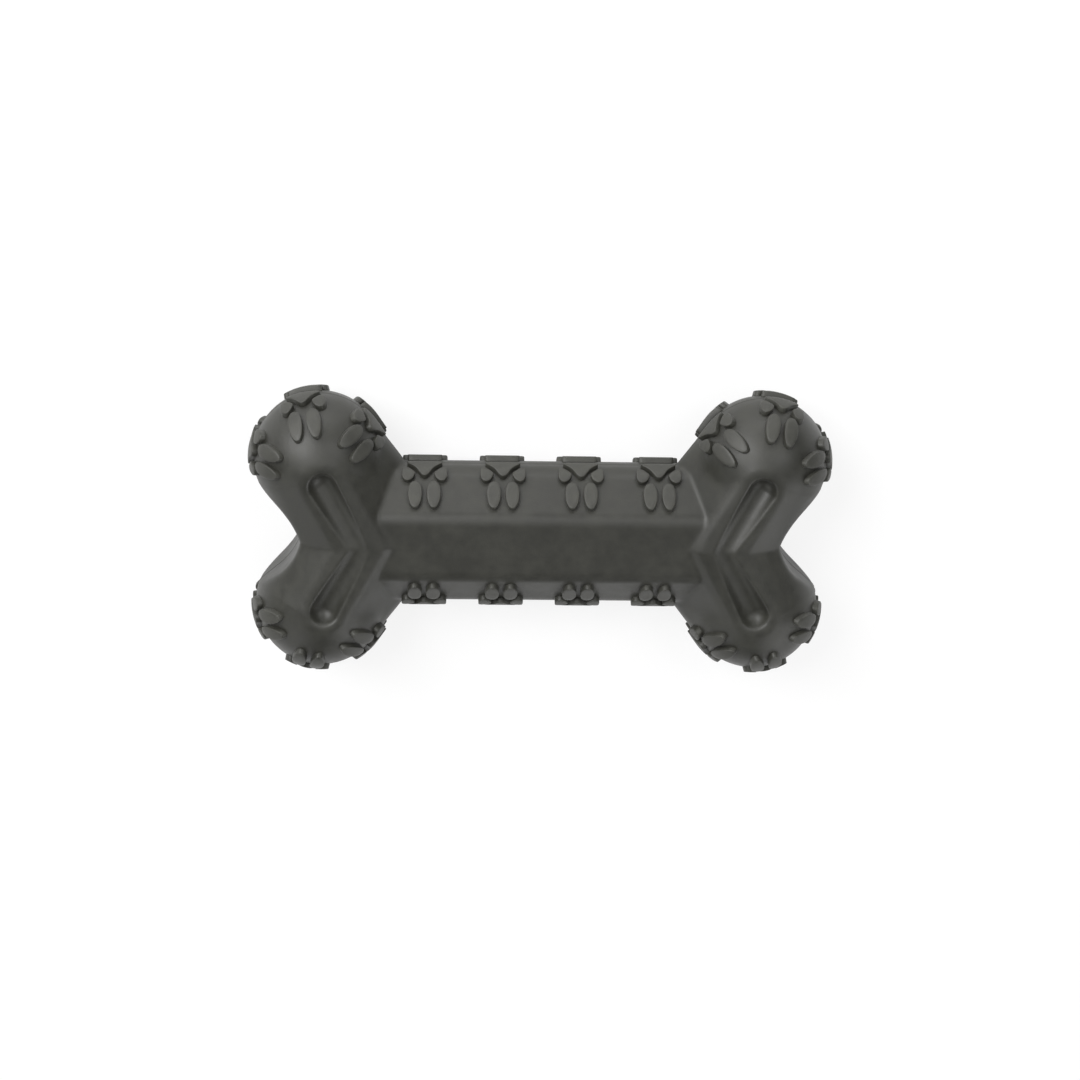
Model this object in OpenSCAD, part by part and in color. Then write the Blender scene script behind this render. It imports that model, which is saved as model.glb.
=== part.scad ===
// Rubber chew bone: a bevelled shaft, two pairs of arms that end in ball lobes, and raised paw prints.
// The bone lies on its back. X runs along it, Y across it, and Z up through its thickness.
// The origin is on the floor, under the middle of the bone.

/* [Lobes] */
// Radius of each ball lobe
lobe_r = 17.1; // [15:0.1:19]
// Distance along the bone from its middle to the centre of a lobe
lobe_x = 57.6; // [54:0.1:66]
// Distance across the bone from its middle line to the centre of a lobe
lobe_y = 20.1; // [18.5:0.1:24]

/* [Shaft] */
// Width of the shaft from ridge to ridge
shaft_w = 37.3; // [32:0.1:40]
// Thickness of the shaft from the front panel to the back panel
shaft_t = 28.8; // [25:0.1:31]
// Leg of the bevel between a ridge and a panel
bevel_leg = 10.4; // [8:0.1:12]
// Radius between a ridge and its bevel
ridge_round = 7; // [2:0.1:9]
// Radius between a bevel and its panel
panel_round = 5; // [2:0.1:8]

/* [Arms] */
// Distance from the middle of the bone to the point where two arms meet
arm_root_x = 46.5; // [43:0.1:49]
// Height of an arm's crown above the middle plane, at its root
arm_top = 17; // [15:0.1:17]
// Radius of an arm's crown at its root
crown_r = 22; // [19:0.1:26]
// Slope of an arm's flank where it runs down to the panel, in degrees
flank_slope = 49; // [42:1:58]
// Distance from the middle of the bone to the tip of a panel
panel_tip_x = 37.9; // [35:0.1:41]
// Distance from the middle of the bone to the corner of an end valley
valley_x = 62.2; // [59:0.1:65]
// Angle between the flat wall of a valley and the direction along the bone, in degrees
valley_angle = 40.4; // [36:0.1:46]
// Depth to which the flat wall of a valley cuts into a lobe
valley_cut = 2.2; // [1:0.1:3]
// Radius of the hollow between the corner of a valley and its flat wall
valley_round = 20; // [14:0.5:30]

/* [Grooves] */
// Width of the round-bottomed groove in each arm
groove_w = 7; // [4:0.1:8]
// Depth of the groove below the top of the lobes, at its outer end
groove_depth = 3.5; // [2:0.1:4]
// Depth of the groove below the top of the lobes, where two arms meet
groove_root_depth = 1.4; // [1:0.1:3]
// Distance along the bone to the centre of a groove's outer end
groove_end_x = 55.9; // [53:0.1:59]
// Distance across the bone to the centre of a groove's outer end
groove_end_y = 16.9; // [14:0.1:19]

/* [Paw prints] */
// Height of the pads above the skin
pad_h = 1.4; // [0.6:0.1:2]
// Distance along the skin from the parting plane to the heel of a print
heel_start = 2; // [1:0.1:3]
// Width of the heel pad at its base
heel_w = 9.1; // [7:0.1:11]
// Length of the heel pad
heel_l = 5; // [3.5:0.1:5.5]
// Width of the heel pad at its tip
heel_tip_w = 2.4; // [1.5:0.1:3]
// Depth of the straight part of the heel beside its base
heel_shoulder = 0.9; // [0.5:0.1:1.5]
// Radius of the hollow in each side of the heel
heel_hollow_r = 5; // [4:0.1:8]
// Width of an outer toe
outer_toe_w = 3.5; // [2.5:0.1:4]
// Length of an outer toe
outer_toe_l = 4.2; // [3.5:0.1:5]
// Distance of an outer toe from the axis of the print
outer_toe_side = 4.1; // [4:0.1:5.5]
// Distance along the skin from the heel's base to an outer toe
outer_toe_gap = 2; // [1.5:0.1:3]
// Width of a middle toe
middle_toe_w = 3.7; // [2.5:0.1:4]
// Length of a middle toe
middle_toe_l = 7.4; // [6:0.1:8.5]
// Distance of a middle toe from the axis of the print
middle_toe_side = 2.4; // [2.3:0.1:3]
// Distance along the skin from the heel's base to a middle toe
middle_toe_gap = 6.3; // [5.8:0.1:7]
// Distance between two prints along the shaft
shaft_paw_pitch = 20.2; // [16:0.1:21]
// Direction of the middle print on a lobe, measured from the inward X direction, in degrees
lobe_paw_middle = 103; // [98:1:110]
// Angle between two prints on a lobe, in degrees
lobe_paw_step = 67; // [55:1:72]
// Stretch of the toes along the skin of a lobe, against those on the shaft
lobe_toe_stretch = 1.13; // [1:0.01:1.2]

/* [Hidden] */
$fn = 96;
overrun = 1;
seat_inset = 0.2;
arc_steps = 8;
toe_steps = 20;
shaft_paw_count = 4;
rubber = "#33332f";
pad_rubber = "#3b3b37";

// Half sizes of the shaft, and the height of the ridge's corner above the middle plane
ridge_y = shaft_w / 2;
panel_z = shaft_t / 2;
ridge_corner_z = panel_z - bevel_leg;
bevel_angle = 45;
corner_tan = tan(bevel_angle / 2);
ridge_fit_r = min(ridge_round, ridge_corner_z / corner_tan);
panel_fit_r = min(panel_round, bevel_leg / sin(bevel_angle) / corner_tan - ridge_fit_r);

// Lengths along the skin of the shaft, from the parting plane to each change of shape
ridge_end = ridge_corner_z - ridge_fit_r * corner_tan;
ridge_arc_end = ridge_end + arc_length(ridge_fit_r, bevel_angle);
bevel_flat = bevel_leg / sin(bevel_angle) - (ridge_fit_r + panel_fit_r) * corner_tan;
bevel_end = ridge_arc_end + bevel_flat;
panel_arc_end = bevel_end + arc_length(panel_fit_r, bevel_angle);
ridge_arc_c = [ridge_y - ridge_fit_r, ridge_end];
panel_arc_c = [ridge_y - bevel_leg - panel_fit_r * corner_tan, panel_z - panel_fit_r];

// An arm runs from its root to the centre of its lobe
arm_run = norm([lobe_x - arm_root_x, lobe_y]);
arm_angle = atan2(lobe_y, lobe_x - arm_root_x);
crown_drop = crown_r - arm_top;
crown_tilt = atan2(crown_drop, arm_run);
crown_run = norm([arm_run, crown_drop]);
crown_end_r = lobe_r - seat_inset;
crown_back = arm_root_x - panel_tip_x;
crown_back_r = crown_r + (crown_r - crown_end_r) * crown_back / crown_run;
flank_at_panel = (arm_root_x - panel_tip_x) * sin(arm_angle);
flank_foot = flank_at_panel + panel_z / tan(flank_slope);
flank_top = flank_foot - lobe_r / tan(flank_slope);
flank_back = 2 * crown_back;

// The side of an end valley is an arc that leaves the corner and runs on into a flat wall
lobe_c = [lobe_x, lobe_y];
valley_along = [cos(valley_angle), sin(valley_angle)];
valley_out = [sin(valley_angle), -cos(valley_angle)];
valley_wall = lobe_r - valley_cut;
valley_corner = [valley_x, 0] - lobe_c;
valley_past_wall = max(valley_corner * valley_out - valley_wall, 0);
valley_arc_run = sqrt(2 * valley_past_wall * valley_round - pow(valley_past_wall, 2));
valley_arc_at = valley_corner * valley_along + valley_arc_run;
valley_arc_c = lobe_c + (valley_wall + valley_round) * valley_out + valley_arc_at * valley_along;
valley_arc_from = 90 + valley_angle + asin(valley_arc_run / valley_round);

groove_r = groove_w / 2;
groove_root_z = lobe_r - groove_root_depth + groove_r;
groove_fall = groove_depth - groove_root_depth;
groove_run = norm([groove_end_x - arm_root_x, groove_end_y]);
groove_length = norm([groove_run, groove_fall]);
groove_tilt = atan2(groove_fall, groove_run);
groove_angle = atan2(groove_end_y, groove_end_x - arm_root_x);

// Distances along the skin from the parting plane to the middle of each pad
heel_mid = heel_start + heel_l / 2;
outer_toe_run = outer_toe_gap + outer_toe_l / 2;
middle_toe_run = middle_toe_gap + middle_toe_l / 2;
outer_toe_mid = heel_start + outer_toe_run;
middle_toe_mid = heel_start + middle_toe_run;
lobe_outer_toe_mid = heel_start + lobe_toe_stretch * outer_toe_run;
lobe_middle_toe_mid = heel_start + lobe_toe_stretch * middle_toe_run;

// An outline is carried this far through the skin, half of it to each side
pad_reach = 2 * pad_h + lobe_r / 2;

EDGES = [["upper", 1], ["lower", -1]];
ENDS = [["left", -1], ["right", 1]];
FACES = [["front", 1], ["back", -1]];
SPOTS = [["inner", -1], ["middle", 0], ["outer", 1]];

// Each print is its node's name and the three signs or places that put it on the bone
shaft_paws = [
    for (edge = EDGES, i = [1:shaft_paw_count], face = FACES)
        [str("shaft_paw_", edge[0], "_", i, "_", face[0]), i, edge[1], face[1]]
];
lobe_paws = [
    for (end = ENDS, edge = EDGES, spot = SPOTS, face = FACES)
        [str("lobe_paw_", end[0], "_", edge[0], "_", spot[0], "_", face[0]),
         end[1], edge[1], spot[1], face[1]]
];

function arc_length(r, degrees) = r * degrees * PI / 180;
function arc_degrees(r, run) = run / r * 180 / PI;
function arc_points(c, r, from, to) = [
    for (i = [0:arc_steps])
        let (a = from + (to - from) * i / arc_steps) [c[0] + r * cos(a), c[1] + r * sin(a)]
];

// Place on the skin of the shaft's section at a run from the parting plane: y, z and the normal's tilt
function on_ridge_arc(run) =
    let (a = arc_degrees(ridge_fit_r, run - ridge_end))
    [ridge_arc_c[0] + ridge_fit_r * cos(a), ridge_arc_c[1] + ridge_fit_r * sin(a), a];
function on_bevel(run) =
    let (start = on_ridge_arc(ridge_arc_end), d = run - ridge_arc_end)
    [start[0] - d * sin(bevel_angle), start[1] + d * cos(bevel_angle), bevel_angle];
function on_panel_arc(run) =
    let (a = bevel_angle + arc_degrees(panel_fit_r, run - bevel_end))
    [panel_arc_c[0] + panel_fit_r * cos(a), panel_arc_c[1] + panel_fit_r * sin(a), a];
function shaft_skin(run) =
    run < ridge_end ? [ridge_y, run, 0] :
    run < ridge_arc_end ? on_ridge_arc(run) :
    run < bevel_end ? on_bevel(run) :
    run < panel_arc_end ? on_panel_arc(run) :
    [panel_arc_c[0] - (run - panel_arc_end), panel_z, 90];

// The same on a lobe, along a line from its parting circle to its pole
function lobe_skin(run) =
    let (a = arc_degrees(lobe_r, run)) [lobe_r * cos(a), lobe_r * sin(a), a];

// One quarter of the shaft's outline, from the ridge to the panel, grown outwards by a distance
function quarter_outline(grow) = concat(
    arc_points(ridge_arc_c, ridge_fit_r + grow, 0, bevel_angle),
    arc_points(panel_arc_c, panel_fit_r + grow, bevel_angle, 90)
);
function turned(points, sy, sz) = [for (p = points) [p[0] * sy, p[1] * sz]];
function backwards(points) = [for (i = [len(points) - 1:-1:0]) points[i]];
function shaft_outline(grow) =
    let (q = quarter_outline(grow))
    concat(q, backwards(turned(q, -1, 1)), turned(q, -1, -1), backwards(turned(q, 1, -1)));
function toe_points(w, l) = [
    for (i = [0:toe_steps - 1])
        let (a = 360 * i / toe_steps) [w / 2 * cos(a), l / 2 * sin(a)]
];

// One side of the heel pad, from its base round the hollow to its tip
function heel_side() =
    let (
        top = [heel_tip_w / 2, heel_l / 2],
        side = [heel_w / 2, heel_shoulder - heel_l / 2],
        chord = norm(side - top),
        out = [top[1] - side[1], side[0] - top[0]] / chord,
        c = (top + side) / 2 + out * sqrt(heel_hollow_r * heel_hollow_r - chord * chord / 4),
        from = atan2(side[1] - c[1], side[0] - c[0]),
        to = atan2(top[1] - c[1], top[0] - c[0])
    )
    concat([[heel_w / 2, -heel_l / 2]], arc_points(c, heel_hollow_r, from, to - (to > from ? 360 : 0)));
function heel_points() = concat(heel_side(), backwards(turned(heel_side(), -1, 1)));

module lifted() {
    translate([0, 0, lobe_r]) children();
}

module shaft_bar(grow = 0, half = arm_root_x) {
    rotate([90, 0, 90])
        translate([0, 0, -half])
            linear_extrude(2 * half) polygon(shaft_outline(grow));
}

module lobe_ball(grow = 0) {
    translate([lobe_x, lobe_y, 0]) sphere(lobe_r + grow);
}

// The crown of an arm is a cone whose axis dips below the middle plane at the root
module arm_crown() {
    translate([0, 0, -crown_drop])
        rotate([0, 90 - crown_tilt, 0])
            translate([0, 0, -crown_back])
                cylinder(r1 = crown_back_r, r2 = crown_end_r, h = crown_run + crown_back);
}

// Everything below the two sloping flanks on the shaft's side of the arm
module arm_flanks() {
    rotate([90, 0, 90])
        translate([0, 0, -flank_back])
            linear_extrude(arm_run + 2 * flank_back)
                polygon([
                    [flank_foot, 0],
                    [flank_top, lobe_r],
                    [-crown_back_r, lobe_r],
                    [-crown_back_r, -lobe_r],
                    [flank_top, -lobe_r]
                ]);
}

// One arm is kept to its own side of the middle line
module own_side() {
    translate([0, 0, -lobe_r - overrun])
        cube([lobe_x + 2 * lobe_r, lobe_y + 2 * lobe_r, 2 * (lobe_r + overrun)]);
}

// Half of an end valley, a little more than to the middle line
module valley_half() {
    wall_end = lobe_c + valley_wall * valley_out + 2 * lobe_r * valley_along;
    translate([0, 0, -lobe_r - overrun])
        linear_extrude(2 * (lobe_r + overrun))
            polygon(concat(
                arc_points(valley_arc_c, valley_round, valley_arc_from, 90 + valley_angle),
                [wall_end, [wall_end[0], -overrun]]
            ));
}

module arm() {
    intersection() {
        own_side();
        translate([arm_root_x, 0, 0])
            rotate([0, 0, arm_angle])
                intersection() {
                    arm_flanks();
                    arm_crown();
                    mirror([0, 0, 1]) arm_crown();
                }
    }
}

// A groove is cut by a rod with round ends that dips towards the lobe
module groove_leg() {
    translate([arm_root_x, 0, groove_root_z])
        rotate([0, groove_tilt, groove_angle]) {
            sphere(groove_r);
            rotate([0, 90, 0]) cylinder(r = groove_r, h = groove_length);
            translate([groove_length, 0, 0]) sphere(groove_r);
        }
}

module in_quarters() {
    for (sx = [0, 1], sy = [0, 1])
        mirror([sx, 0, 0]) mirror([0, sy, 0]) children();
}

module bone_body() {
    color(rubber)
        lifted()
            difference() {
                union() {
                    shaft_bar();
                    in_quarters() arm();
                    in_quarters() lobe_ball();
                }
                in_quarters() {
                    valley_half();
                    groove_leg();
                    mirror([0, 0, 1]) groove_leg();
                }
            }
}

// Draws an outline square to the skin, at a place found by one of the skin functions
module pad_prism(place) {
    translate([0, place[0], place[1]])
        rotate([place[2] - 90, 0, 0])
            rotate([0, 0, 180])
                translate([0, 0, -pad_reach / 2])
                    linear_extrude(pad_reach) children();
}

// One pad: child 0 is the outline, child 1 the solid that its top follows, and child 2 the skin below
module pad(place) {
    difference() {
        intersection() {
            pad_prism(place) children(0);
            children(1);
        }
        children(2);
    }
}

// Five pads: child 0 is the solid that their tops follow, and child 1 the skin below
module paw(heel_place, outer_place, middle_place, stretch = 1) {
    pad(heel_place) {
        polygon(heel_points());
        children(0);
        children(1);
    }
    for (s = [-1, 1]) {
        pad(outer_place) {
            translate([s * outer_toe_side, 0]) polygon(toe_points(outer_toe_w, stretch * outer_toe_l));
            children(0);
            children(1);
        }
        pad(middle_place) {
            translate([s * middle_toe_side, 0]) polygon(toe_points(middle_toe_w, stretch * middle_toe_l));
            children(0);
            children(1);
        }
    }
}

module shaft_paw(i, sy, sz) {
    color(pad_rubber)
        lifted()
            translate([(i - (shaft_paw_count + 1) / 2) * shaft_paw_pitch, 0, 0])
                scale([1, sy, sz])
                    paw(shaft_skin(heel_mid), shaft_skin(outer_toe_mid), shaft_skin(middle_toe_mid)) {
                        shaft_bar(pad_h, heel_w);
                        shaft_bar(0, 2 * heel_w);
                    }
}

module lobe_paw(sx, sy, spot, sz) {
    color(pad_rubber)
        lifted()
            scale([sx, sy, sz])
                translate([lobe_x, lobe_y, 0])
                    rotate([0, 0, 90 - lobe_paw_middle - spot * lobe_paw_step])
                        paw(lobe_skin(heel_mid), lobe_skin(lobe_outer_toe_mid),
                            lobe_skin(lobe_middle_toe_mid), lobe_toe_stretch) {
                            sphere(lobe_r + pad_h);
                            sphere(lobe_r);
                        }
}

bone_body();
for (p = shaft_paws) shaft_paw(p[1], p[2], p[3]);
for (p = lobe_paws) lobe_paw(p[1], p[2], p[3], p[4]);
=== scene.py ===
# %% [markdown]
# # A rubber chew bone, one step at a time
# The real object is a single piece of moulded rubber: a bevelled shaft, four arms with a groove in each,
# four ball lobes, and forty raised paw prints that a dog's teeth can grip.
# The solids of the CAD model already have the right sizes, but they meet in plain edges.
# Here each of them is replaced by a finished surface that is worked out with numpy.
# The first step loads the CAD model; each of its pieces is hidden where a finished one takes its place.

# %% Load the frame
import bmesh
import bpy
import numpy as np
from mathutils import Matrix


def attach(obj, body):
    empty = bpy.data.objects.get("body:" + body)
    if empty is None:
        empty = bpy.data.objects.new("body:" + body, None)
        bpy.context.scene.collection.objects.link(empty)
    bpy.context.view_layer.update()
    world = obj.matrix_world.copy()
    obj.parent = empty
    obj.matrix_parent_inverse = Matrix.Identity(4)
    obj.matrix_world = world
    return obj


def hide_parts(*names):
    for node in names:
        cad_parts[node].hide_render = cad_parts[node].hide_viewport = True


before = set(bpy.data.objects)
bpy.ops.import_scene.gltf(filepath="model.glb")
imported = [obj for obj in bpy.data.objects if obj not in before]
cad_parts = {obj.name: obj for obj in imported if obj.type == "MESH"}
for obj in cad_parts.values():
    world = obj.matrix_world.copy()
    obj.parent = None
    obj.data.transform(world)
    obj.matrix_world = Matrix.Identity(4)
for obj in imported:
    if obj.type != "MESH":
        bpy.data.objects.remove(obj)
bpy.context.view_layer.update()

MM = 0.001

# %% [markdown]
# ## The camera
# The photograph looks down on the bone's front face, tipped about 20 degrees towards its upper edge.
# The three turns, the distance and the lens were fitted to points measured in the photograph.
# A camera looks along its own minus Z, so the rows of the turn matrix give its three axes.

# %% Place the camera
CAMERA_TILT, CAMERA_YAW, CAMERA_ROLL = np.radians([20.3, 2.75, -1.52])
CAMERA_DISTANCE, CAMERA_FOCAL_PX = 550.0, 2083.3
CAMERA_AIM_X, CAMERA_AIM_Y, MID_HEIGHT = -0.125, 2.4, 17.1
PHOTO_PX, SENSOR = 1080, 36.0


def turn_about(axis, angle):
    """Rotation matrix about one of the three axes: cosines on the plane's diagonal, sines off it."""
    turn = np.eye(3)
    first, second = [(1, 2), (2, 0), (0, 1)][axis]
    turn[first, first] = turn[second, second] = np.cos(angle)
    turn[first, second], turn[second, first] = -np.sin(angle), np.sin(angle)
    return turn


axes = turn_about(2, CAMERA_ROLL) @ turn_about(0, CAMERA_TILT) @ turn_about(1, CAMERA_YAW)
eye = axes.T @ np.array([-CAMERA_AIM_X, -CAMERA_AIM_Y, CAMERA_DISTANCE]) + [0, 0, MID_HEIGHT]
camera = bpy.data.objects.new("camera", bpy.data.cameras.new("camera"))
camera.data.sensor_width = SENSOR
camera.data.lens = CAMERA_FOCAL_PX / PHOTO_PX * SENSOR
camera.data.clip_start = 0.01
placed = np.eye(4)
placed[:3, :3], placed[:3, 3] = axes.T, eye * MM
camera.matrix_world = Matrix(placed.tolist())
bpy.context.collection.objects.link(camera)
bpy.context.scene.camera = camera
print("camera at (mm):", np.round(eye, 1), "lens:", round(camera.data.lens, 2))

# %% [markdown]
# ## The skin of the shaft
# The shaft is a bar with a flat panel on its front and its back, and a rounded ridge along each side.
# It could be a bevelled box, but the arms have to flow out of it.
# So its skin is written as a function that says how far a point lies outside it, in millimetres.
# Such functions can be joined softly, which two meshes can't.
# A rounded corner is a circle, and the flat beside it faces the way that the end of the arc faces.

# %% The shaft's rounded octagon
RIDGE_Y, PANEL_Z, BEVEL_LEG = 18.65, 14.4, 10.4
RIDGE_ROUND, PANEL_ROUND = 7.0, 5.0
EIGHTH_TAN = np.tan(np.radians(22.5))
RIDGE_CENTRE = (RIDGE_Y - RIDGE_ROUND, PANEL_Z - BEVEL_LEG - RIDGE_ROUND * EIGHTH_TAN)
PANEL_CENTRE = (RIDGE_Y - BEVEL_LEG - PANEL_ROUND * EIGHTH_TAN, PANEL_Z - PANEL_ROUND)


def beyond_corner(y, z, centre, radius, facing_from, facing_to):
    """Reach from the corner's centre in the point's direction, held within the arc, less the radius."""
    dy, dz = y - centre[0], z - centre[1]
    facing = np.clip(np.arctan2(dz, dy), np.radians(facing_from), np.radians(facing_to))
    return dy * np.cos(facing) + dz * np.sin(facing) - radius


def outside_shaft(y, z):
    """The larger of the distances beyond the ridge's corner and beyond the panel's corner."""
    return np.maximum(beyond_corner(y, z, RIDGE_CENTRE, RIDGE_ROUND, 0, 45),
                      beyond_corner(y, z, PANEL_CENTRE, PANEL_ROUND, 45, 90))


print("shaft, at the ridge and at the panel:", outside_shaft(RIDGE_Y, 0.0), outside_shaft(0.0, PANEL_Z))

# %% [markdown]
# ## The skin of a head
# A head is two arms and two lobes. An arm's crown is a cone that lies along it, its flank is a flat slope
# down to the panel, and its other side is cut by the valley in the end of the bone.
# In plan the valley is an arc that starts at the middle and runs into a flat cut along the lobe.
# Two skins are joined softly by a rounded minimum, and cut softly by a rounded maximum.
# A fillet of a given radius fills a deep corner widely and a shallow one hardly at all.
# So its width is worked out from the cosine between the directions in which the two skins face.
# The crown runs into the ball tangentially: there the cosine is one and nothing swells.

# %% Soft joins and the heads
LOBE_R, LOBE_X, LOBE_Y = 17.1, 57.6, 20.1
ARM_ROOT_X, PANEL_TIP_X, ARM_TOP, CROWN_R = 46.5, 37.9, 17.0, 22.0
FLANK_SLOPE = np.radians(49)
ARM_RUN = np.hypot(LOBE_X - ARM_ROOT_X, LOBE_Y)
ARM_ANGLE = np.arctan2(LOBE_Y, LOBE_X - ARM_ROOT_X)
CROWN_DROP = CROWN_R - ARM_TOP
CROWN_TILT = np.arctan2(CROWN_DROP, ARM_RUN)
CROWN_RUN = np.hypot(ARM_RUN, CROWN_DROP)
CROWN_TAPER = np.arccos(LOBE_R / np.hypot(CROWN_R, CROWN_RUN)) - np.arctan2(CROWN_RUN, CROWN_R)
CROWN_END = CROWN_RUN + LOBE_R * np.sin(CROWN_TAPER)
FLANK_FOOT = (ARM_ROOT_X - PANEL_TIP_X) * np.sin(ARM_ANGLE) + PANEL_Z / np.tan(FLANK_SLOPE)
VALLEY_X, VALLEY_ANGLE, VALLEY_CUT, VALLEY_ROUND = 62.2, np.radians(40.4), 2.2, 20.0
VALLEY_ALONG = np.array([np.cos(VALLEY_ANGLE), np.sin(VALLEY_ANGLE)])
VALLEY_OUT = np.array([np.sin(VALLEY_ANGLE), -np.cos(VALLEY_ANGLE)])
VALLEY_CORNER = np.array([VALLEY_X - LOBE_X, -LOBE_Y])
PAST_WALL = VALLEY_CORNER @ VALLEY_OUT - (LOBE_R - VALLEY_CUT)
VALLEY_ARC_AT = VALLEY_CORNER @ VALLEY_ALONG + np.sqrt(2 * PAST_WALL * VALLEY_ROUND - PAST_WALL ** 2)
VALLEY_CENTRE = ([LOBE_X, LOBE_Y] + (LOBE_R - VALLEY_CUT + VALLEY_ROUND) * VALLEY_OUT
                 + VALLEY_ARC_AT * VALLEY_ALONG)
FLANK_ROUND, BALL_FILLET = 14.0, 8.0
VALLEY_EDGE, FOOT_EDGE, CREASE = 1.0, 0.7, 0.5
PANEL_CREASE, RIDGE_CREASE = 0.8, 1.2


def soft_cut(a, b, width):
    """The larger of two skins, raised by the cube of their closeness where that is within the width."""
    close = np.clip(1 - np.abs(a - b) / width, 0, 1)
    return np.maximum(a, b) + close ** 3 * width / 6


def soft_join(a, b, width):
    """The smaller of two skins, lowered in the same way."""
    return -soft_cut(-a, -b, width)


def fillet_width(radius, alike):
    """Width for a fillet of that radius between skins that face alike: 1.5 * radius * (1 - cosine)."""
    return 1.5 * radius * (1 - alike) + 0.01


def outside_head(x, y, z):
    """A cone, a slope and the valley cut from one another make the arm, and the ball is joined to it."""
    along = (x - ARM_ROOT_X) * np.cos(ARM_ANGLE) + y * np.sin(ARM_ANGLE)
    aside = y * np.cos(ARM_ANGLE) - (x - ARM_ROOT_X) * np.sin(ARM_ANGLE)
    on_axis = along * np.cos(CROWN_TILT) + (z + CROWN_DROP) * np.sin(CROWN_TILT)
    off_axis = (z + CROWN_DROP) * np.cos(CROWN_TILT) - along * np.sin(CROWN_TILT)
    from_axis = np.hypot(aside, off_axis)
    from_lobe = np.hypot(from_axis, on_axis - CROWN_RUN)
    crown = (from_axis - CROWN_R) * np.cos(CROWN_TAPER) + on_axis * np.sin(CROWN_TAPER)
    flank = ((aside - FLANK_FOOT) * np.sin(FLANK_SLOPE)
             + np.hypot(z, FOOT_EDGE) * np.cos(FLANK_SLOPE))
    crown_to_flank = (aside * np.sin(FLANK_SLOPE) + off_axis * np.cos(FLANK_SLOPE)) / from_axis
    edge = fillet_width(FLANK_ROUND, crown_to_flank)
    arm = np.maximum(soft_cut(crown, flank, edge), on_axis - CROWN_END)
    share = np.clip(0.5 + (crown - flank) / (2 * edge), 0, 1)
    share = share * share * (3 - 2 * share)
    past_lobe = on_axis - CROWN_RUN
    ball_to_crown = (from_axis * np.cos(CROWN_TAPER) + past_lobe * np.sin(CROWN_TAPER)) / from_lobe
    ball_to_flank = (aside * np.sin(FLANK_SLOPE) + z * np.cos(FLANK_SLOPE)) / from_lobe
    fillet = fillet_width(BALL_FILLET, share * ball_to_crown + (1 - share) * ball_to_flank)
    valley = -beyond_corner(x, y, VALLEY_CENTRE, VALLEY_ROUND, 90 + np.degrees(VALLEY_ANGLE), 180)
    return soft_cut(soft_join(from_lobe - LOBE_R, arm, fillet), valley, VALLEY_EDGE)


print("arm angle:", round(np.degrees(ARM_ANGLE), 2), "flank foot:", round(FLANK_FOOT, 2))

# %% [markdown]
# ## The grooves, the rims and the parting line
# Each arm has a round-bottomed groove, and a soft raised rim runs round it.
# The groove is a cut by everything nearer to its centre line than the ball's radius.
# It is deep at the lobe and rises towards the middle of the bone, where it meets that of the other arm.
# The rim is a low bell curve of the distance from that line.
# The two halves of the mould leave a fine raised line along the middle plane, another bell curve.
# The bone is its own mirror image, so every function takes sizes of x, y and z without their signs.

# %% The whole skin
GROOVE_R, GROOVE_DEPTH, GROOVE_END = 3.5, 3.5, (55.9, 16.9)
LIP_ROUND, RIM_AT, RIM_WIDTH, RIM_RISE = 1.3, 2.4, 1.3, 0.15
GROOVE_ROOT_DEPTH, GROOVE_MEET = 1.4, 0.8
GROOVE_Z = LOBE_R - GROOVE_DEPTH + GROOVE_R
GROOVE_ROOT_Z = LOBE_R - GROOVE_ROOT_DEPTH + GROOVE_R
GROOVE_LEG = np.array([GROOVE_END[0] - ARM_ROOT_X, GROOVE_END[1]])
PARTING_RISE, PARTING_WIDTH, TOP_ROUND = 0.1, 0.16, 0.8
TOP_CLEARANCE, SHAFT_END_INSET = 0.02, 1.0
TOP_Z = LOBE_R - TOP_CLEARANCE


def from_groove(x, y):
    """Distance in plan from the groove's centre line, and the share of the line that is reached."""
    px, py = x - ARM_ROOT_X, y
    share = np.clip((px * GROOVE_LEG[0] + py * GROOVE_LEG[1]) / (GROOVE_LEG @ GROOVE_LEG), 0, 1)
    return np.hypot(px - share * GROOVE_LEG[0], py - share * GROOVE_LEG[1]), share


def outside_bone(x, y, z):
    """Shaft and heads joined, with rims and a flat limit on top, less the groove, plus the parting line."""
    y_soft = np.hypot(y, CREASE)
    shaft = np.maximum(outside_shaft(y, z), x - ARM_ROOT_X + SHAFT_END_INSET)
    crease = PANEL_CREASE + (RIDGE_CREASE - PANEL_CREASE) * np.clip(1 - z / PANEL_Z, 0, 1)
    bone = soft_join(outside_head(x, y_soft, z), shaft, crease)
    plan, share = from_groove(x, np.hypot(y, GROOVE_MEET))
    bone = bone - RIM_RISE * np.exp(-((plan - GROOVE_R - RIM_AT) / RIM_WIDTH) ** 2)
    bone = soft_cut(bone, z - TOP_Z, TOP_ROUND)
    cutter_z = GROOVE_ROOT_Z + share * (GROOVE_Z - GROOVE_ROOT_Z)
    lip = fillet_width(LIP_ROUND, (cutter_z - LOBE_R) / GROOVE_R)
    bone = soft_cut(bone, GROOVE_R - np.hypot(plan, z - cutter_z), lip)
    return bone - PARTING_RISE * np.exp(-(z / PARTING_WIDTH) ** 2)


print("skin over the middle of the panel:", outside_bone(0.0, 0.0, PANEL_Z))

# %% [markdown]
# ## Rays from the backbone
# A mesh is needed on the place where that function is zero.
# Voxels would leave steps on the crisp rims, so the skin is laid out on two parameters instead.
# The first runs along a backbone: down the shaft, up the groove, round the groove's end, and back.
# The second is the height of a ray above the middle plane, from 0 to 90 degrees.
# The rays bunch up at the groove's lip, so that a row of the grid always follows that edge.

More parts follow.
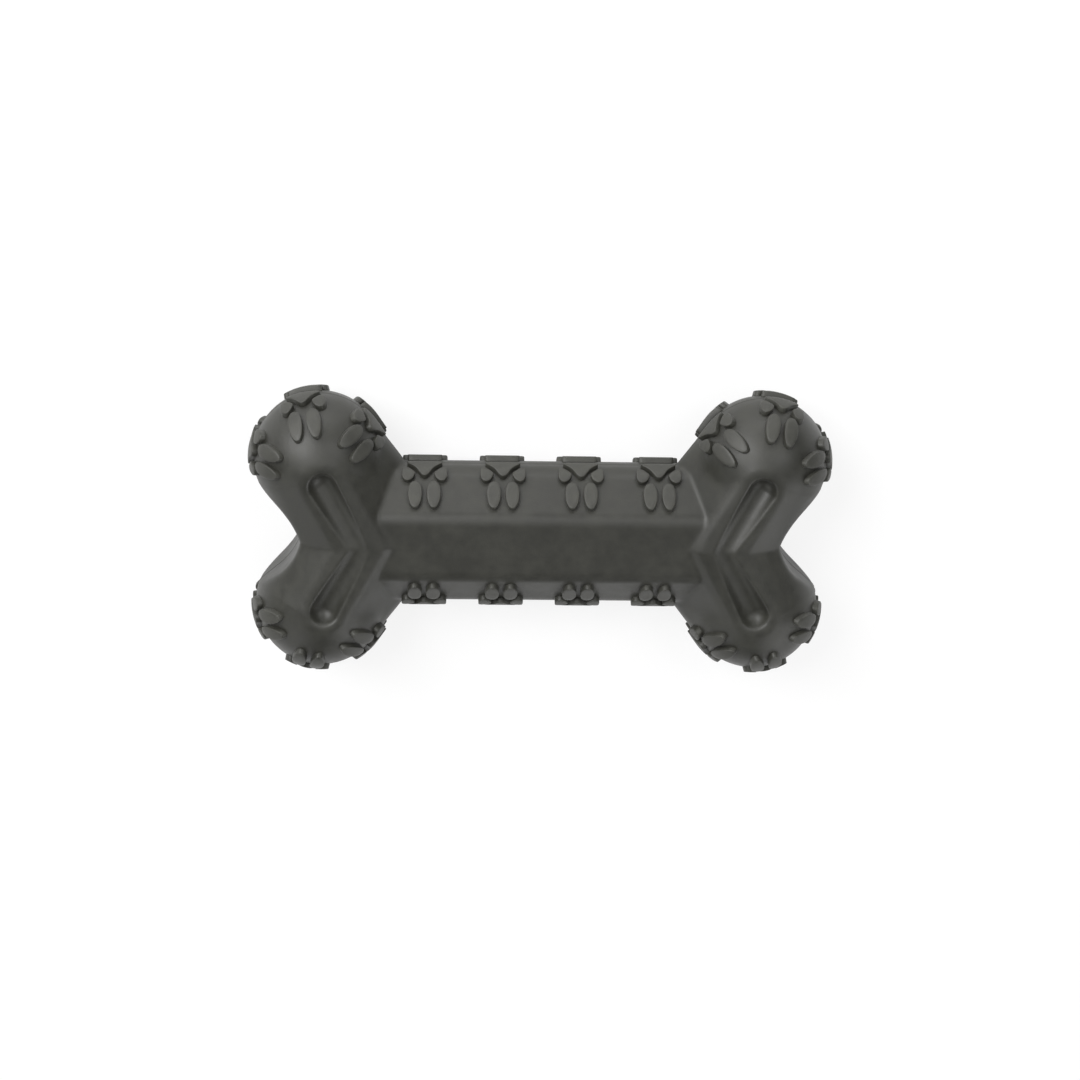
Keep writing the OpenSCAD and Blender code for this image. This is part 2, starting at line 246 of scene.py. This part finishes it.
# %% The backbone and the heights
CORNER = (37.15, RIDGE_Y)
CORNER_TURN = np.arctan2(CORNER[1], CORNER[0] - ARM_ROOT_X)
LEG_ANGLE = np.arctan2(GROOVE_LEG[1], GROOVE_LEG[0])
SHAFT_LINES, ROOT_LINES, ARM_LINES, FAN_LINES = 12, 30, 36, 72
TURN_START_X, LIP_TURN_X, NOSE_X = 29.0, 36.0, 43.35
ROOT_LIP, STEEPEST_LIP, LIP_Z = 78.0, 89.0, 16.9
LIP_SEARCH, LIP_SEARCH_STEPS = 8.0, 1601


def backbone():
    """Anchor x, anchor y and facing of every ray plane, in the order in which they go round a quarter."""
    share = np.linspace(0, 1, ROOT_LINES + 1)
    up = np.linspace(0, 1, ARM_LINES + 1)
    fan = np.linspace(0, 1, FAN_LINES + 1)[1:-1]
    square, back = LEG_ANGLE + np.pi / 2, LEG_ANGLE - np.pi / 2
    rows = [
        (np.linspace(0, TURN_START_X, SHAFT_LINES, endpoint=False), np.zeros(SHAFT_LINES),
         np.full(SHAFT_LINES, np.pi / 2)),
        (TURN_START_X + share[:-1] * (ARM_ROOT_X - TURN_START_X), 0 * share[:-1],
         np.pi / 2 + share[:-1] * (CORNER_TURN - np.pi / 2)),
        (ARM_ROOT_X + up * GROOVE_LEG[0], up * GROOVE_LEG[1], CORNER_TURN + up * (square - CORNER_TURN)),
        (np.full(len(fan), GROOVE_END[0]), np.full(len(fan), GROOVE_END[1]),
         square + fan * (back - square)),
        (ARM_ROOT_X + up[::-1] * GROOVE_LEG[0], up[::-1] * GROOVE_LEG[1], up[::-1] * back),
    ]
    return [np.concatenate(part) for part in zip(*rows)]


def lip_heights(x, y, facing):
    """Angle at which each ray plane meets the lip, found on its distance in plan from the groove."""
    reach = np.linspace(0, LIP_SEARCH, LIP_SEARCH_STEPS)
    plan, share = from_groove(x[:, None] + reach * np.cos(facing)[:, None],
                              np.abs(y[:, None] + reach * np.sin(facing)[:, None]))
    sunk = GROOVE_ROOT_Z + share * (GROOVE_Z - GROOVE_ROOT_Z) - LIP_Z
    crossing = reach[np.argmax(plan >= np.sqrt(GROOVE_R ** 2 - sunk ** 2), axis=1)]
    lip = np.minimum(np.degrees(np.arctan2(LIP_Z, crossing)), STEEPEST_LIP)
    on_shaft = np.interp(x, [LIP_TURN_X, NOSE_X], [ROOT_LIP, STEEPEST_LIP])
    return np.where(x < NOSE_X, on_shaft, lip)


anchor_x, anchor_y, facing = backbone()
lip = lip_heights(anchor_x, anchor_y, facing)
below = np.concatenate([[0, 0.4, 0.8, 1.3, 2.1, 3.4], np.linspace(5, 68, 37),
                        [69.6, 71.1, 72.4, 73.5, 74.5, 75.3, 76.0, 76.6, 77.1, 77.5, 77.8]]) / ROOT_LIP
above = np.array([0, 0.25, 0.6, 1.1, 1.8, 2.8, 4.1, 5.8, 7.8, 9.9, 12]) / 12
heights = np.concatenate([below * lip[:, None], lip[:, None] + above * (90 - lip[:, None])], axis=1)
print("ray planes:", len(anchor_x), "heights:", heights.shape[1])

# %% [markdown]
# ## From rays to a closed mesh
# Each ray is walked inwards in half-millimetre steps until the function turns negative.
# The gap is then halved again and again. Numpy does this for all rays at once.
# The quarter is mirrored into the other seven, and the seams are welded.
# A mirrored grid is inside out, so its faces are listed the other way round.

# %% The body's mesh
FAR, NEAR, WALK_STEPS, HALVINGS = 26.0, 6.0, 41, 30
WELD_MM = 0.002


def on_skin(outside, start, ray):
    """Walk along start + reach * ray from far to near, then halve the gap that holds the skin."""
    reach = np.linspace(FAR, NEAR, WALK_STEPS)
    value = outside(*(start[..., None, i] + reach * ray[..., None, i] for i in range(3)))
    first = np.argmax(value < 0, axis=-1)
    low, high = reach[first], reach[np.maximum(first - 1, 0)]
    for _ in range(HALVINGS):
        middle = (low + high) / 2
        out = outside(*(start[..., i] + middle * ray[..., i] for i in range(3))) > 0
        low, high = np.where(out, low, middle), np.where(out, middle, high)
    return start + middle[..., None] * ray


def grid_quads(rows, columns, closed=False):
    """Corners of every cell of a grid of points that are numbered row by row."""
    row = np.arange(rows - 1)[:, None] * columns
    column = np.arange(columns if closed else columns - 1)[None, :]
    after = (column + 1) % columns
    next_row = row + columns
    return np.stack([row + column, row + after, next_row + after, next_row + column], -1).reshape(-1, 4)


def new_piece(name, points_mm, faces, nodes):
    """A smooth-shaded object, welded and tied to the frame, from points measured from the middle plane."""
    mesh = bpy.data.meshes.new(name)
    mesh.from_pydata((points_mm + [0, 0, MID_HEIGHT]) * MM, [], faces)
    work = bmesh.new()
    work.from_mesh(mesh)
    bmesh.ops.remove_doubles(work, verts=work.verts, dist=WELD_MM * MM)
    for face in work.faces:
        face.smooth = True
    work.to_mesh(mesh)
    work.free()
    piece = bpy.data.objects.new(name, mesh)
    bpy.context.collection.objects.link(piece)
    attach(piece, "root")
    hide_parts(*nodes)
    return piece


start = np.stack([anchor_x, anchor_y, 0 * anchor_x], -1)[:, None, :] * np.ones((1, heights.shape[1], 1))
rise = np.radians(heights)
ray = np.stack([np.cos(rise) * np.cos(facing)[:, None], np.cos(rise) * np.sin(facing)[:, None],
                np.sin(rise)], -1)
quarter = on_skin(outside_bone, start, ray)
quads = grid_quads(*quarter.shape[:2])
points, faces = [], []
for signs in [(sx, sy, sz) for sx in (1, -1) for sy in (1, -1) for sz in (1, -1)]:
    points.append(quarter.reshape(-1, 3) * signs)
    turned = quads if np.prod(signs) > 0 else quads[:, ::-1]
    faces.append(turned + len(quarter.reshape(-1, 3)) * (len(points) - 1))
body = new_piece("chew_bone_body", np.concatenate(points), np.concatenate(faces).tolist(),
                 ["bone_body"])
print("body faces:", len(body.data.polygons), "box (mm):",
      np.round(np.array(body.bound_box)[[0, 6]] / MM, 2).tolist())

# %% [markdown]
# ## The outlines of the pads
# A print is five raised pads: a heel with hollow sides, two small outer toes, and two long middle toes.
# An outline could be a Bezier curve, but here it is a loop of a few corners, evened out and smoothed.
# Smoothing a closed loop with its neighbours rounds every corner alike, as a small cutter does in a mould.
# A middle toe is a slightly squared ellipse instead, a little wider towards the heel, so it is egg-shaped.
# The first number of a point runs across the print.
# The second runs along the skin, away from the parting plane.

# %% Loops of points
LOOP_POINTS, SMOOTHING_PASSES = 44, 5
OUTER_TOE_SIDE, MIDDLE_TOE_SIDE, LOBE_STRETCH = 4.1, 2.4, 1.13
HEEL_START, HEEL_MID, OUTER_TOE_MID, MIDDLE_TOE_MID = 2.0, 4.5, 6.1, 12.0
HEEL_SIDE = [(4.55, -2.5), (4.55, -1.6), (3.3, -1.1), (2.3, -0.2), (1.35, 1.3), (0.75, 2.6)]
HEEL_CORNERS = [(-x, y) for x, y in HEEL_SIDE[:1]] + HEEL_SIDE + [(-x, y) for x, y in HEEL_SIDE[:0:-1]]
OUTER_TOE_CORNERS = [(-1.75, -0.3), (0.4, -2.1), (1.65, -1.85), (1.75, 0.8), (1.1, 1.9), (0.1, 2.15),
                     (-1.1, 1.4)]
MIDDLE_TOE_L, MIDDLE_TOE_W, MIDDLE_TOE_TAPER, MIDDLE_TOE_SQUARE = 7.6, 3.7, 0.1, 0.85


def evened(corners, count):
    """The same closed loop with its points at equal distances, found on the running length of its sides."""
    loop = np.array(corners + corners[:1], float)
    run = np.concatenate([[0], np.cumsum(np.hypot(*np.diff(loop, axis=0).T))])
    at = np.linspace(0, run[-1], count, endpoint=False)
    return np.stack([np.interp(at, run, loop[:, 0]), np.interp(at, run, loop[:, 1])], -1)


def rounded(corners, passes):
    """Each pass moves a point halfway to the mean of its neighbours; the size is kept."""
    loop = evened(corners, LOOP_POINTS)
    size = np.ptp(loop, axis=0)
    for _ in range(passes):
        loop = loop / 2 + (np.roll(loop, 1, 0) + np.roll(loop, -1, 0)) / 4
    return loop * size / np.ptp(loop, axis=0)


turn = np.linspace(0, 2 * np.pi, LOOP_POINTS, endpoint=False)
squared = np.sign(np.cos(turn)) * np.abs(np.cos(turn)) ** MIDDLE_TOE_SQUARE
middle_toe = np.stack([MIDDLE_TOE_W / 2 * squared * (1 - MIDDLE_TOE_TAPER * np.sin(turn)),
                       MIDDLE_TOE_L / 2 * np.sin(turn)], -1)
outer_toe = rounded(OUTER_TOE_CORNERS, SMOOTHING_PASSES)
heel = rounded(HEEL_CORNERS, SMOOTHING_PASSES)
print("heel", np.round(np.ptp(heel, axis=0), 2), "outer toe", np.round(np.ptp(outer_toe, axis=0), 2))

# %% [markdown]
# ## Raising a pad from its outline
# A pad stands square on the skin at its own middle, with a flat top that follows the skin, and crisp edges.
# It could be an extrusion cut by the skin, but a boolean would leave long thin faces.
# Here every ring of the pad is the outline drawn in by a little and set at a height over the skin.
# Along the pad's own upright, the place where the skin's function reaches that value is found by halving.
# The lowest ring lies under the skin, so no gap can show, and both ends close in a point.

# %% One print as rings of points
PAD_H, PAD_ROOT, PAD_FOOT, PAD_EDGE, PAD_DRAFT = 1.4, -0.35, 0.25, 0.16, 0.05
EDGE_MIDDLE_SHARE = 0.3
PAD_RINGS = [(PAD_ROOT, 0), (PAD_FOOT, 0), (PAD_H - PAD_EDGE, PAD_DRAFT),
             (PAD_H - PAD_EDGE * EDGE_MIDDLE_SHARE, PAD_DRAFT + PAD_EDGE * EDGE_MIDDLE_SHARE),
             (PAD_H, PAD_DRAFT + PAD_EDGE)]
PAD_TOP_SHARES = [0.66, 0.33, 0.0]
SEARCH_LOW, SEARCH_HIGH = -6.0, 3.0


def drawn_in(loop, inset):
    """Every point moves inwards at right angles to the line between its two neighbours."""
    along = np.roll(loop, -1, 0) - np.roll(loop, 1, 0)
    along /= np.hypot(along[:, :1], along[:, 1:])
    return loop + inset * np.stack([-along[:, 1], along[:, 0]], -1)


def shaft_place(run):
    """Point and tilt on the shaft's section, at a length along the skin from the parting plane."""
    ridge_end, arc = RIDGE_CENTRE[1], RIDGE_ROUND * np.pi / 4
    flat = BEVEL_LEG * np.sqrt(2) - (RIDGE_ROUND + PANEL_ROUND) * EIGHTH_TAN
    turned_by = np.clip((run - ridge_end) / RIDGE_ROUND, 0, np.pi / 4)
    slid = np.clip(run - ridge_end - arc, 0, flat)
    turned_on = np.clip((run - ridge_end - arc - flat) / PANEL_ROUND, 0, np.pi / 4)
    centre, radius, tilt = RIDGE_CENTRE, RIDGE_ROUND, turned_by
    if turned_on > 0:
        centre, radius, tilt, slid = PANEL_CENTRE, PANEL_ROUND, np.pi / 4 + turned_on, 0
    return (centre[0] + radius * np.cos(tilt) - slid * np.sin(tilt),
            centre[1] + radius * np.sin(tilt) + slid * np.cos(tilt), tilt)


def ball_place(run):
    """The same on a ball about the origin, where the tilt is the length over the radius."""
    return LOBE_R * np.cos(run / LOBE_R), LOBE_R * np.sin(run / LOBE_R), run / LOBE_R


def over_skin(outside, place, plan, height):
    """Halve a stretch of the pad's upright over each point until the skin's function is the height."""
    y, z, tilt = place
    upright = np.array([0, np.cos(tilt), np.sin(tilt)])
    foot = np.stack([plan[:, 0], y - plan[:, 1] * np.sin(tilt), z + plan[:, 1] * np.cos(tilt)], -1)
    low, high = np.full(len(plan), SEARCH_LOW), np.full(len(plan), SEARCH_HIGH)
    for _ in range(HALVINGS):
        middle = (low + high) / 2
        under = outside(*(foot + middle[:, None] * upright).T) < height
        low, high = np.where(under, middle, low), np.where(under, high, middle)
    return foot + middle[:, None] * upright


def pad_rings(outside, place, loop, side):
    """Rings from the root up over the edge and in to the top's middle, closed by a point at each end."""
    rings = [np.zeros((LOOP_POINTS, 2)) + loop.mean(0)] + [drawn_in(loop, inset) for _, inset in PAD_RINGS]
    rings += [loop.mean(0) + (rings[-1] - loop.mean(0)) * share for share in PAD_TOP_SHARES]
    levels = [PAD_ROOT] + [height for height, _ in PAD_RINGS] + [PAD_H] * len(PAD_TOP_SHARES)
    return np.concatenate([over_skin(outside, place, ring + [side, 0], level)
                           for ring, level in zip(rings, levels)])


def print_points(outside, place_at, stretch):
    """The five pads of one print at x = 0; its toes are spread along the skin by the stretch."""
    pads = [pad_rings(outside, place_at(HEEL_MID), heel, 0)]
    toes = [(outer_toe, OUTER_TOE_MID, OUTER_TOE_SIDE), (middle_toe, MIDDLE_TOE_MID, MIDDLE_TOE_SIDE)]
    for side in (1, -1):
        for loop, mid, offset in toes:
            outline = (loop if side > 0 else (loop * [-1, 1])[::-1]) * [1, stretch]
            spread = HEEL_START + stretch * (mid - HEEL_START)
            pads.append(pad_rings(outside, place_at(spread), outline, side * offset))
    return np.concatenate(pads)


def outside_turned_head(turn):
    """The head's skin, for points of a print that is still to be turned and moved to its lobe."""
    def outside(x, y, z):
        moved = turn @ np.stack([x, y, z]) + np.array([[LOBE_X], [LOBE_Y], [0]])
        return outside_head(*moved)
    return outside


shaft_print = print_points(lambda x, y, z: outside_shaft(y, z), shaft_place, 1)
ring_count = 1 + len(PAD_RINGS) + len(PAD_TOP_SHARES)
pad_quads = grid_quads(ring_count, LOOP_POINTS, closed=True)[:, ::-1]
print_quads = np.concatenate([pad_quads + i * ring_count * LOOP_POINTS for i in range(5)])
print("points in a print:", len(shaft_print), "faces:", len(print_quads))

# %% [markdown]
# ## Forty prints
# Four prints lie along each edge of the shaft and three round each lobe, on the front and on the back.
# Every one is its own object under the name of its CAD node, because that is how the part is taken apart.
# One print is worked out for the shaft and three for a lobe, where the toes lie a little further apart.
# The others are moved and mirrored copies of their points, so their meshes stay where they are drawn.

# %% Place the prints
SHAFT_PITCH, SHAFT_PRINTS = 20.2, 4
MIDDLE_PRINT_TURN, PRINT_STEP = -13.0, 67.0


def mirrored_print(name, points_mm, signs):
    """A print with its signs changed, and its faces turned round where the signs make it inside out."""
    quads_here = print_quads if np.prod(signs) > 0 else print_quads[:, ::-1]
    return new_piece("pads_" + name, points_mm * signs, quads_here.tolist(), [name])


lobe_prints = {}
for spot, step in (("inner", -1), ("middle", 0), ("outer", 1)):
    turn = turn_about(2, np.radians(MIDDLE_PRINT_TURN - step * PRINT_STEP))
    on_ball = print_points(outside_turned_head(turn), ball_place, LOBE_STRETCH)
    lobe_prints[spot] = on_ball @ turn.T + [LOBE_X, LOBE_Y, 0]

prints = []
for edge, sy in (("upper", 1), ("lower", -1)):
    for face_name, sz in (("front", 1), ("back", -1)):
        for i in range(1, SHAFT_PRINTS + 1):
            moved = shaft_print + [(i - (SHAFT_PRINTS + 1) / 2) * SHAFT_PITCH, 0, 0]
            prints.append(mirrored_print(f"shaft_paw_{edge}_{i}_{face_name}", moved, (1, sy, sz)))
        for end, sx in (("left", -1), ("right", 1)):
            for spot, moved in lobe_prints.items():
                name = f"lobe_paw_{end}_{edge}_{spot}_{face_name}"
                prints.append(mirrored_print(name, moved, (sx, sy, sz)))
print("prints:", len(prints), "faces in one:", len(prints[0].data.polygons))

# %% [markdown]
# ## Moulded rubber
# The bone is a filled natural rubber, pressed in a steel mould: nearly black, a little warm, and satin.
# The mould was blasted with fine grit, so the skin has a grain of about a third of a millimetre.
# Wax that comes to the surface of such rubber makes it duller and a touch paler in soft patches.
# A weak sheen stands for the same wax where the skin turns away.
# All of it is made from noise on the object's own coordinates, so it stays on the bone in every view.

# %% Colour and node helpers
def linear(hex_colour):
    """sRGB hex to linear: a channel under 0.04045 is divided by 12.92, the others follow a power of 2.4."""
    channel = np.array([int(hex_colour[i:i + 2], 16) for i in (1, 3, 5)]) / 255
    straight = np.where(channel <= 0.04045, channel / 12.92, ((channel + 0.055) / 1.055) ** 2.4)
    return (*straight.tolist(), 1.0)


def add_node(tree, kind, settings=(), **links):
    """A node with its properties set, and its sockets given values or linked, by their names."""
    node = tree.nodes.new(kind)
    for key, value in dict(settings).items():
        setattr(node, key, value)
    for key, value in links.items():
        by_number = key[0] == "i" and key[1:].isdigit()
        socket = node.inputs[int(key[1:]) if by_number else key.replace("_", " ")]
        if isinstance(value, bpy.types.NodeSocket):
            tree.links.new(value, socket)
        else:
            socket.default_value = value
    return node


GRAIN_MM, PATCH_MM, SCUFF_MM, WAVE_MM = 0.35, 16.0, 3.0, 7.0
GRAIN_SHARE, WAVE_SHARE, WAVE_HEIGHT = 0.35, 0.12, 0.6
BLOOM_FROM, BLOOM_TO = 0.15, 0.38
RUBBER_IOR, WAX_SHEEN, WAX_SHEEN_ROUGHNESS = 1.52, 0.05, 0.35


def per_metre(size_mm):
    """Noise scale whose cells have that size, since Object coordinates are in metres."""
    return 1 / (size_mm * MM)


def rubber_noise(tree, place, size_mm, detail, roughness):
    """Noise whose cells have the given size in millimetres."""
    return add_node(tree, "ShaderNodeTexNoise", Vector=place, Scale=per_metre(size_mm), Detail=detail,
                    Roughness=roughness).outputs[0]


def moulded_rubber(name, deep, pale, gloss, dull, grain_height):
    """Satin rubber: patches mix two colours and two roughnesses, grain and slow waves bend the light."""
    material = bpy.data.materials.new(name)
    material.use_nodes = True
    tree = material.node_tree
    shader = tree.nodes["Principled BSDF"]
    place = add_node(tree, "ShaderNodeTexCoord").outputs["Object"]
    patch = rubber_noise(tree, place, PATCH_MM, 3.0, 0.55)
    scuff = rubber_noise(tree, place, SCUFF_MM, 4.0, 0.6)
    grain = rubber_noise(tree, place, GRAIN_MM, 2.0, 0.5)
    wave = rubber_noise(tree, place, WAVE_MM, 1.0, 0.4)
    bloom = add_node(tree, "ShaderNodeMath", {"operation": "MULTIPLY"}, i0=patch, i1=scuff)
    spread = add_node(tree, "ShaderNodeMapRange", Value=bloom.outputs[0], From_Min=BLOOM_FROM,
                      From_Max=BLOOM_TO)
    colour = add_node(tree, "ShaderNodeMix", {"data_type": "RGBA"}, i0=spread.outputs[0],
                      i6=linear(deep), i7=linear(pale))
    rough = add_node(tree, "ShaderNodeMapRange", Value=spread.outputs[0], To_Min=gloss, To_Max=dull)
    slow = add_node(tree, "ShaderNodeBump", Height=wave, Strength=WAVE_SHARE, Distance=WAVE_HEIGHT * MM)
    fine = add_node(tree, "ShaderNodeBump", Height=grain, Strength=GRAIN_SHARE,
                    Distance=grain_height * MM, Normal=slow.outputs[0])
    tree.links.new(colour.outputs[2], shader.inputs["Base Color"])
    tree.links.new(rough.outputs[0], shader.inputs["Roughness"])
    tree.links.new(fine.outputs[0], shader.inputs["Normal"])
    shader.inputs["IOR"].default_value = RUBBER_IOR
    shader.inputs["Sheen Weight"].default_value = WAX_SHEEN
    shader.inputs["Sheen Roughness"].default_value = WAX_SHEEN_ROUGHNESS
    return material


body_rubber = moulded_rubber("natural_rubber_satin_moulded", "#21211c", "#2a2a24", 0.44, 0.54, 0.05)
pad_rubber = moulded_rubber("natural_rubber_matte_pads", "#2a2a25", "#34342e", 0.48, 0.6, 0.07)
body.data.materials.append(body_rubber)
for piece in prints:
    piece.data.materials.append(pad_rubber)
print("materials:", [m.name for m in bpy.data.materials if m.users])

# %% [markdown]
# ## Floor, world and lamps
# The photograph was taken in soft white light that comes mostly from the upper left.
# The floor is plain white paper. To the camera most of it is a colour of strength 1, so it shows as white.
# The rest is lit like any paper and keeps the bone's shadow.
# The rubber mirrors a weaker share of that glow, because a full white mirror would make it too pale.
# Seven soft lamps stand round the bone. The strongest is high at the upper left, with a lower one below it.
# The others are low and far off behind the upper edge, high at the upper right, at both lower corners,
# and overhead.

# %% Set up the studio
FLOOR_HALF, WHITE_SHARE, MIRROR_SHARE, WORLD_STRENGTH = 3.0, 0.8, 0.3, 0.1
PAPER_WHITE, PAPER_ROUGHNESS = 0.9, 0.9
LAMPS = [("high_left_lamp", (-0.45, 0.45, 0.75), (0.5, 0.5), 7.3),
         ("back_left_lamp", (-0.6, 0.6, 0.42), (0.8, 0.5), 3.8),
         ("high_right_lamp", (0.45, 0.45, 0.75), (0.5, 0.5), 2.8),
         ("low_back_lamp", (0.0, 0.95, 0.14), (0.9, 0.24), 3.2),
         ("front_right_lamp", (0.6, -0.6, 0.42), (0.8, 0.5), 3.6),
         ("front_left_lamp", (-0.6, -0.6, 0.42), (0.8, 0.5), 2.0),
         ("overhead_lamp", (0.0, 0.02, 1.0), (0.7, 0.7), 1.4)]

floor_mesh = bpy.data.meshes.new("studio_floor")
floor_corners = [(x * FLOOR_HALF, y * FLOOR_HALF, 0) for x, y in [(-1, -1), (1, -1), (1, 1), (-1, 1)]]
floor_mesh.from_pydata(floor_corners, [], [(0, 1, 2, 3)])
floor = bpy.data.objects.new("studio_floor", floor_mesh)
bpy.context.collection.objects.link(floor)

paper = bpy.data.materials.new("matte_white_paper")
paper.use_nodes = True
tree = paper.node_tree
shader = tree.nodes["Principled BSDF"]
shader.inputs["Base Color"].default_value = (PAPER_WHITE, PAPER_WHITE, PAPER_WHITE, 1)
shader.inputs["Roughness"].default_value = PAPER_ROUGHNESS
seen = add_node(tree, "ShaderNodeLightPath")
mirrored = add_node(tree, "ShaderNodeMath", {"operation": "MAXIMUM"},
                    i0=seen.outputs["Is Glossy Ray"], i1=seen.outputs["Is Transmission Ray"])
share = add_node(tree, "ShaderNodeMath", {"operation": "MULTIPLY"}, i0=mirrored.outputs[0], i1=MIRROR_SHARE)
share = add_node(tree, "ShaderNodeMath", {"operation": "MULTIPLY_ADD"},
                 i0=seen.outputs["Is Camera Ray"], i1=WHITE_SHARE, i2=share.outputs[0])
glow = add_node(tree, "ShaderNodeEmission", Color=(1, 1, 1, 1), Strength=1.0)
mixed = add_node(tree, "ShaderNodeMixShader", i0=share.outputs[0], i1=shader.outputs[0], i2=glow.outputs[0])
tree.links.new(mixed.outputs[0], tree.nodes["Material Output"].inputs["Surface"])
floor.data.materials.append(paper)

world = bpy.data.worlds.new("studio_world")
bpy.context.scene.world = world
world.use_nodes = True
world.node_tree.nodes["Background"].inputs["Color"].default_value = (1, 1, 1, 1)
world.node_tree.nodes["Background"].inputs["Strength"].default_value = WORLD_STRENGTH

for name, place, size, power in LAMPS:
    lamp = bpy.data.objects.new(name, bpy.data.lights.new(name, "AREA"))
    lamp.data.shape = "RECTANGLE"
    lamp.data.size, lamp.data.size_y = size
    lamp.data.energy = power
    away = np.array(place) / np.linalg.norm(place)
    right = np.cross([0, 0, 1], away)
    right /= np.linalg.norm(right)
    placed = np.eye(4)
    placed[:3, :3], placed[:3, 3] = np.stack([right, np.cross(away, right), away], -1), place
    lamp.matrix_world = Matrix(placed.tolist())
    bpy.context.collection.objects.link(lamp)
bpy.context.scene.view_settings.view_transform = "Standard"
print("lamps:", [lamp[0] for lamp in LAMPS])
